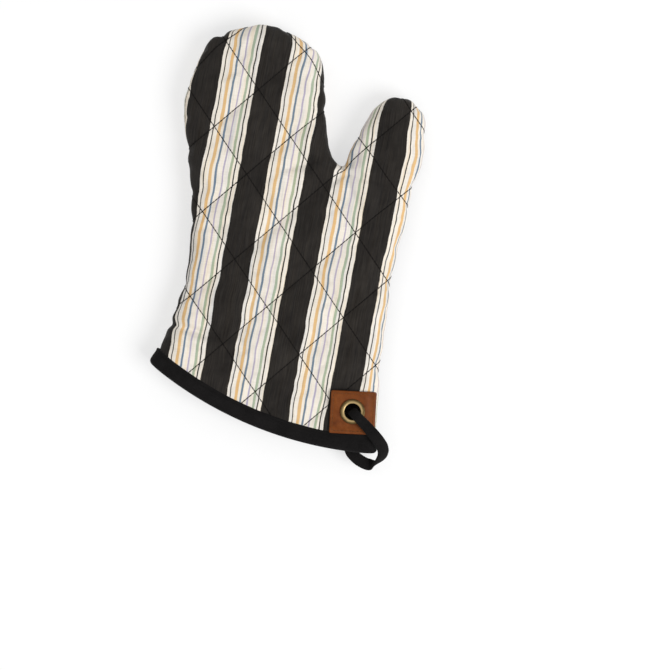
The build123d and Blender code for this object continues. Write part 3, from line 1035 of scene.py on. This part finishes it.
for name, front, replaced in (("front_lining", True, "lining_front"), ("back_lining", False, "lining_back")):
    inner = inner_panel(
        name, front, lining_inset, lining_cuff_gap, lining_cell, wall, lining_tuck, lining_cotton, 31.0
    )
    soften(inner)
    thicken(inner, lining_thickness)
    dress(inner, "mitt", "lining_cotton", replaced)


def cuff_loop(reach, inner):
    """Closed loop round the mouth at a reach from the cuff's centre, outside or inside the wall."""
    inset = wall if inner else 0.0
    line, _ = panel_ring(inset, reach, 1.0)
    start, end = (math.radians(bearing(p - cuff_centre)) for p in (line[-1], line[0]))
    even = np.linspace(0, 1, cuff_count)
    share = 0.55 * (1 - np.cos(math.pi * even)) / 2 + 0.45 * even
    points = on_circle(cuff_centre, reach, start + (end - start) * share)
    distance, _ = edge_distance(points)
    if inner:
        room = np.maximum(distance - inset, 0) * crown_width / (crown_width - 0.5 * inset)
        rise = (half_thickness - wall) * crown(points, room)
        above, below = half_thickness + rise, half_thickness - rise
    else:
        above, below = front_form(points, distance), back_form(points, distance)
    top = np.column_stack([points, above])
    low = np.column_stack([points, below])[::-1]
    return np.vstack([top, low[1:-1]])


def loop_normals(loop):
    """Directions away from the wall round a loop of the mouth, square to the cuff's direction."""
    run = np.roll(loop, -1, axis=0) - np.roll(loop, 1, axis=0)
    radial = unit((loop - [*cuff_centre, 0]) * [1, 1, 0])
    return unit(np.cross(radial, run))


def cuff_point(reach, share):
    """Loop at a reach, a share of the way from the outer to the inner face, and its directions outward."""
    outer, inner = cuff_loop(reach, False), cuff_loop(reach, True)
    away = unit((1 - share) * loop_normals(outer) - share * loop_normals(inner))
    return (1 - share) * outer + share * inner, away


def widened(loop, inset):
    """A loop of the tape's outer face, its folded edge drawn up to the leather tab."""
    above = smooth(loop[:, 2], half_thickness, half_thickness + 6) * smooth(inset, 8.0, 12.0)
    drawn = tape_widening * above * smooth(loop[:, 0], 48, 82)
    moved = loop.copy()
    moved[:, :2] -= unit(loop[:, :2] - cuff_centre) * drawn[:, None]
    return moved


def binding():
    """Tape folded over the cuff edge, with a sunk line for its stitches on each face."""
    rows = [(cuff_radius - inset, 0.0, proud) for inset, proud in tape_face]
    rows += [(cuff_radius + past, share, proud) for past, share, proud in tape_fold]
    rows += [(cuff_radius - inset, 1.0, proud) for inset, proud in tape_face[::-1]]
    loops = []
    for k, (reach, share, proud) in enumerate(rows):
        loop, away = cuff_point(reach, share)
        waver = ripple(loop[:, :2], 5.0, 41 + 0.2 * k) + 0.6 * ripple(loop[:, :2], 11.0, 47 + 0.15 * k)
        loop = loop + away * (proud + 0.22 * waver * (proud > 0))[:, None]
        if share == 0.0:
            loop = widened(loop, cuff_radius - reach)
        loop[:, 2] = np.maximum(loop[:, 2], resting_height + 1.4 * max(0.8 - proud, 0))
        loops.append(loop)
    flat = bmesh.new()
    skin(flat, [[flat.verts.new(p) for p in loop] for loop in loops])
    along = run_lengths(loops[0])
    obj = made("cuff_tape", flat, [binding_cotton], outward=True)
    set_cloth_map(obj, np.array([(x, r * tape_map_step) for r in range(len(loops)) for x in along]))
    return obj


cuff_tape = binding()
soften(cuff_tape)
thicken(cuff_tape, tape_thickness)
dress(cuff_tape, "mitt", "binding_cotton", "cuff_binding")


def tube(flat, points, radii, squash, up):
    """Closed-ended tube along points; squash flattens it towards the surface it lies on."""
    run = unit(np.gradient(points, axis=0))
    wide = unit(np.cross(run, np.broadcast_to(up, points.shape)))
    high = np.cross(wide, run)
    turn = np.linspace(0, 2 * math.pi, thread_sides, endpoint=False)
    rings = []
    for p, w, h, r in zip(points, wide, high, radii):
        rings.append([flat.verts.new(p + r * (math.cos(t) * w + squash * math.sin(t) * h)) for t in turn])
    skin(flat, rings)
    flat.faces.new(rings[0])
    flat.faces.new(rings[-1][::-1])


def sew(name, runs, thread, material):
    """Rows of stitches along runs of points with their outward directions."""
    radius, pitch, gap = thread
    shares, fullness, lifts = np.array(stitch_profile).T
    flat = bmesh.new()
    for points, ups in runs:
        length = run_lengths(points)
        count = int(length[-1] / pitch)
        spare = (length[-1] - count * pitch) / 2
        for k in range(count):
            at = spare + k * pitch + gap / 2 + shares * (pitch - gap)
            up = unit(at_lengths(ups, length, at))
            place = at_lengths(points, length, at) + up * (lifts * radius)[:, None]
            tube(flat, place, radius * fullness, stitch_squash, up)
    return made(name, flat, [material], outward=True)


def surface_of(obj):
    """The shown surface of a piece, to set things on."""
    bpy.context.view_layer.update()
    return BVHTree.FromObject(obj, bpy.context.evaluated_depsgraph_get())


def on_surface(tree, points, from_above):
    """Points in plan dropped on a surface, with its directions there."""
    start = (above_all if from_above else below_all) * MM
    way = Vector((0, 0, -1 if from_above else 1))
    places, ups = [], []
    for x, y in points:
        hit, normal, _, _ = tree.ray_cast(Vector((x * MM, y * MM, start)), way)
        if hit is None:
            continue
        if normal.dot(way) > 0:
            normal = -normal
        places.append(np.array(hit) / MM)
        ups.append(np.array(normal))
    return np.array(places), np.array(ups)


def quilt_lines():
    """Runs of the quilting in plan, inside the seam and a little way under the tape."""
    ring = whole_ring(quilt_end_inset, tape_edge + quilt_under_tape, 2.0)
    along = np.arange(-quilt_reach, quilt_reach, 1.0)
    runs = []
    for way, square in quilt_ways:
        for k in quilt_numbers:
            line = lattice_centre + k * quilt_spacing * square + along[:, None] * way
            kept = inside(line, ring).astype(int)
            ends = np.flatnonzero(np.diff(np.concatenate([[0], kept, [0]])))
            runs += [line[first:last] for first, last in zip(ends[::2], ends[1::2])]
    return runs


def clear_of_tab(run):
    """The part of a run that the leather tab leaves bare."""
    away = run - eyelet
    return run[(np.abs(away[:, 0]) > tab_cover) | (away[:, 1] > tab_cover)]


def down_wall(tree, end, before, height, from_above):
    """Places on the side wall where a run of quilting goes on from its end to the seam."""
    way = (end - before) / np.linalg.norm(end - before)
    ahead = end + np.arange(0, wall_search, 0.1)[:, None] * way
    distance, out = edge_distance(ahead)
    last = int(np.argmax(distance < 0.4))
    if distance[0] > wall_clear or last == 0:
        return []
    seam_height = half_thickness + (0.8 if from_above else -0.8)
    found = []
    for share in np.linspace(0.1, 1.0, 12):
        k = int(round(share * last))
        place = settled(ahead[k : k + 1])[0] + wall_clear * out[k]
        level = height + share * (seam_height - height)
        start = Vector((place[0] * MM, place[1] * MM, level * MM))
        way_in = Vector((-out[k][0], -out[k][1], 0))
        hit, normal, _, _ = tree.ray_cast(start, way_in, wall_search * MM)
        if hit is not None and normal.dot(way_in) < -0.1:
            found.append((np.array(hit) / MM, np.array(normal)))
    return found


def quilt_run(tree, run, from_above):
    """A run of quilting over the face of a panel, and down the side wall at each end."""
    places, ups = on_surface(tree, settled(run), from_above)
    if len(places) <= shortest_run:
        return None
    head = down_wall(tree, run[0], run[1], places[0][2], from_above)
    tail = down_wall(tree, run[-1], run[-2], places[-1][2], from_above)
    return [np.array(part) for part in zip(*head[::-1], *zip(places, ups), *tail)]


quilts = quilt_lines()
for name, front, replaced in (
    ("front_quilting", True, "quilting_thread_front"),
    ("back_quilting", False, "quilting_thread_back"),
):
    surface = surface_of(cloths[front])
    bare = [clear_of_tab(run) for run in quilts] if front else quilts
    sewn = [quilt_run(surface, run, front) for run in bare if len(run) > shortest_run]
    rows = sew(name, [run for run in sewn if run], quilt_thread_and_shade, thread_dark)
    dress(rows, "mitt", "thread_dark", replaced)

for name, inset, facing, thread, replaced in (
    ("seam_row", seam_row_inset, 1, seam_thread, "outer_seam_thread"),
    ("lining_row", lining_inset, -1, lining_thread, "lining_seam_thread"),
):
    line, _ = panel_ring(inset, cuff_radius - seam_row_cuff_gap, 1.0)
    level = np.full(len(line), half_thickness)
    ups = np.column_stack([facing * edge_distance(line)[1], np.zeros(len(line))])
    rows = sew(name, [(np.column_stack([settled(line), level]), ups)], thread, thread_dark)
    dress(rows, "mitt", "thread_dark", replaced)

tape_runs = []
for share in (0.0, 1.0):
    row, ups = cuff_point(cuff_radius - binding_stitch_inset, share)
    row = row + ups * tape_row_height
    row[:, 2] = np.maximum(row[:, 2], resting_height + tape_thread[0])
    tape_runs.append((closed(row), closed(ups)))
dress(sew("tape_row", tape_runs, tape_thread, thread_dark), "mitt", "thread_dark", "binding_stitching")


def tab_ring(inset, radius, step):
    """Closed ring of points at an inset in the tab, with rounded corners, about its centre."""
    x, y = tab_half - inset - radius
    corners = ((x, y, 0), (-x, y, 90), (-x, -y, 180), (x, -y, 270))
    ring = np.vstack([arc((cx, cy), radius, start, start + 90, 0.4) for cx, cy, start in corners])
    return spaced(closed(ring), step)[:-1]


def on_mitt(local):
    """Places in plan of points about the tab's centre."""
    return (local + tab_shift) @ tab_axes + eyelet


def tab_height_at(points):
    """Height of the cloth under the tab, raised to the tape's edge where the two meet."""
    distance, _ = edge_distance(points)
    raised = 0.9 * smooth(far(points, cuff_centre), tape_edge - 6, tape_edge - 2)
    return front_form(points, np.maximum(distance, 0.3)) + raised


def leather_tab():
    """Cut leather patch that follows the padded corner, with a hole for the eyelet."""
    hole_at = -tab_shift
    bevel = tab_ring(tab_bevel, 1.0, tab_cell)
    groove = tab_ring(tab_stitch_inset, tab_stitch_corner, tab_cell)
    rims = [arc(hole_at, radius, 0, 360, tab_cell)[:-1] for radius in (tab_hole, tab_hole + 0.8)]
    fixed = np.vstack([bevel, groove, *rims])
    x, y = np.meshgrid(np.arange(-18, 18.1, 1.0), np.arange(-17, 17.1, 1.0))
    grid = np.column_stack([x.ravel(), y.ravel()])
    grid = grid[(np.abs(grid) < tab_half - 2 * tab_bevel).all(1) & (far(grid, hole_at) > tab_hole + 1.4)]
    grid = grid[gap_to(grid, fixed) > 0.55]
    outline = tab_ring(0.0, tab_corner_radius, tab_cell)
    flat = plan_mesh(outline, np.vstack([fixed, grid]), holes=((hole_at, tab_hole - tolerance),))
    local = plan_of(flat)
    from_edge = (tab_half - np.abs(local)).min(1)
    points = on_mitt(local)
    heights = tab_height_at(points) + tab_thickness
    heights -= 0.55 * np.exp(-np.maximum(from_edge, 0) / 0.35)
    heights -= 0.28 * bell(from_edge - tab_stitch_inset, 0.7)
    near = far(local, hole_at)
    heights += (0.22 * ripple(points, 9.0, 51) + 0.1 * ripple(points, 3.5, 57)) * smooth(near, 10, 14)
    under_flange = 2 * half_thickness + tab_thickness - tolerance
    heights = np.where(near < 10.5, np.minimum(heights, under_flange), heights)
    waver = 1 + 0.006 * ripple(local, 6.0, 60)
    set_places(flat, on_mitt(local * waver[:, None]), heights)
    return made("tab_patch", flat, [leather_face, leather_edge])


tab_patch = leather_tab()
thicken(tab_patch, tab_thickness, rim=1)
dress(tab_patch, "mitt", "tab_leather", "leather_tab")
tab_line = on_mitt(closed(tab_ring(tab_stitch_inset, tab_stitch_corner, 0.5)))
tab_row = sew("tab_row", [on_surface(surface_of(tab_patch), tab_line, True)], tab_thread, thread_brown)
dress(tab_row, "mitt", "thread_brown", "tab_stitching")

for name in ("eyelet", "eyelet_washer"):
    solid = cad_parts[name]
    solid.data.materials.clear()
    solid.data.materials.append(brass)


def loop_route():
    """Points along the hanging loop's smooth closed line, evenly spaced."""
    curve = bpy.data.curves.new("loop_route", "CURVE")
    curve.dimensions = "3D"
    spline = curve.splines.new("NURBS")
    spline.points.add(len(loop_points) - 1)
    for p, place in zip(spline.points, loop_points):
        p.co = (*place, 1)
    spline.use_cyclic_u = True
    spline.order_u = 3
    spline.resolution_u = 24
    holder = link(bpy.data.objects.new("loop_route", curve))
    bpy.context.view_layer.update()
    mesh = bpy.data.meshes.new_from_object(holder)
    line = np.array([v.co[:] for v in mesh.vertices])
    bpy.data.objects.remove(holder)
    bpy.data.curves.remove(curve)
    bpy.data.meshes.remove(mesh)
    return spaced(closed(line), strap_step)[:-1]


def loop_frames(line):
    """Directions across the strap's width and through its depth."""
    run = unit(np.roll(line, -1, axis=0) - np.roll(line, 1, axis=0))
    wide = unit(loop_width_axis - (run @ loop_width_axis)[:, None] * run)
    return wide, np.cross(wide, run)


def strap_size(line):
    """Half width and half depth along the strap, narrow in the eyelet and wide at the far bend."""
    away = smooth(far(line[:, :2], eyelet), 5, 34)
    return [size + change * away for size, change in zip(strap_half, strap_change)]


strap_line = loop_route()
strap_wide, strap_high = loop_frames(strap_line)
strap_half_width, strap_half_depth = strap_size(strap_line)


def strap_ring(k, spare, sides):
    """Cross-section of the flattened fabric tube at one of its points, with a spare all round."""
    turn = np.linspace(0, 2 * math.pi, sides, endpoint=False)
    c, s = np.cos(turn), np.sin(turn)
    across = (strap_half_width[k] + spare) * np.sign(c) * np.abs(c) ** 0.8
    depth = (strap_half_depth[k] + spare) * np.sign(s) * np.abs(s) ** 0.75
    return strap_line[k] + across[:, None] * strap_wide[k] + depth[:, None] * strap_high[k]


def wrinkle(place):
    """Small unevenness of the strap's cloth."""
    return 0.22 * noise.noise(Vector(place * 0.22)) + 0.1 * noise.noise(Vector(place * 0.6))


def hanging_loop():
    """Flattened fabric tube along the loop's route."""
    flat = bmesh.new()
    rings = []
    for k, middle in enumerate(strap_line):
        ring = strap_ring(k, 0.0, strap_sides)
        folds = np.array([wrinkle(p) for p in ring])
        rings.append([flat.verts.new(p) for p in ring + unit(ring - middle) * folds[:, None]])
    skin(flat, rings + rings[:1])
    obj = made("loop_strap", flat, [loop_cotton], outward=True)
    steps = [(j * strap_map_step, k * strap_step) for k in range(len(rings)) for j in range(strap_sides)]
    set_cloth_map(obj, np.array(steps))
    soften(obj)
    return obj


def loop_whipping():
    """Turns of thread round the strap where its two ends are joined."""
    middle = far(strap_line, loop_points[-1]).argmin()
    slant = np.linspace(-whipping_slant, whipping_slant, whipping_sides)
    flat = bmesh.new()
    for k in range(whipping_turns):
        at = (middle + k - whipping_turns // 2) % len(strap_line)
        run = np.cross(strap_wide[at], strap_high[at])
        ring = strap_ring(at, whipping_clear, whipping_sides) + slant[:, None] * run
        tube(flat, ring, np.full(whipping_sides, whipping_radius), 1.0, run)
    return made("loop_whipping", flat, [thread_dark], outward=True)


dress(hanging_loop(), "loop", "loop_cotton", "hang_loop")
dress(loop_whipping(), "loop", "thread_dark", "loop_tack")

# Floor, light and camera; lamps and camera are placed in metres
floor_size = 3000
floor_gap = 0.3
floor_white = 0.6
sky_light = 0.55

floor_mat, floor_tree, floor_bsdf = shader("floor_paper", Roughness=0.9, Specular_IOR_Level=0.1)
paper = speckle(floor_tree, body_place(floor_tree), 3.0, 4.0)
paper = ramp(floor_tree, paper, [(0.3, (0.94, 0.94, 0.94)), (0.7, (0.96, 0.96, 0.96))])
floor_tree.links.new(paper, floor_bsdf.inputs["Base Color"])
white = node(floor_tree, "ShaderNodeEmission").outputs["Emission"]
white_share = maths(floor_tree, "MULTIPLY", seen_rays(floor_tree), floor_white)
pale = node(floor_tree, "ShaderNodeMixShader", {0: white_share, 1: floor_bsdf.outputs["BSDF"], 2: white})
floor_tree.links.new(pale.outputs[0], floor_tree.nodes["Material Output"].inputs["Surface"])
floor_mesh = bmesh.new()
bmesh.ops.create_grid(floor_mesh, x_segments=8, y_segments=8, size=floor_size)
floor = made("floor", floor_mesh, [floor_mat])
floor.location.z = cad_box[0][2] - floor_gap * MM

world = bpy.data.worlds.new("studio")
bpy.context.scene.world = world
world.use_nodes = True
sky = world.node_tree.nodes["Background"]
sky.inputs["Color"].default_value = (1, 1, 1, 1)
sky_strength = spread(world.node_tree, seen_rays(world.node_tree), sky_light, 1.0)
world.node_tree.links.new(sky_strength, sky.inputs["Strength"])


def lamp(name, place, size, power):
    """A round lamp that points at the middle of the frame."""
    light = bpy.data.lights.new(name, "AREA")
    light.shape = "DISK"
    light.size = size
    light.energy = power
    obj = link(bpy.data.objects.new(name, light))
    obj.location = place
    obj.rotation_euler = (-Vector(place)).to_track_quat("-Z", "Y").to_euler()


lamp("key", (1.85, -0.8, 2.3), 1.8, 66.0)
lamp("fill", (-1.2, 0.9, 2.2), 2.0, 8.0)

frame_width = 0.5419
camera_place = (0.0486, -0.0751, 1.8)
camera_turn = 8
camera = bpy.data.cameras.new("camera")
camera.sensor_width = 36.0
camera.lens = camera.sensor_width * (camera_place[2] - half_thickness * MM) / frame_width
eye = link(bpy.data.objects.new("camera", camera))
eye.location = camera_place
eye.rotation_euler = (0, 0, math.radians(camera_turn))
bpy.context.scene.camera = eye
bpy.context.scene.view_settings.view_transform = "Standard"

bpy.context.view_layer.update()
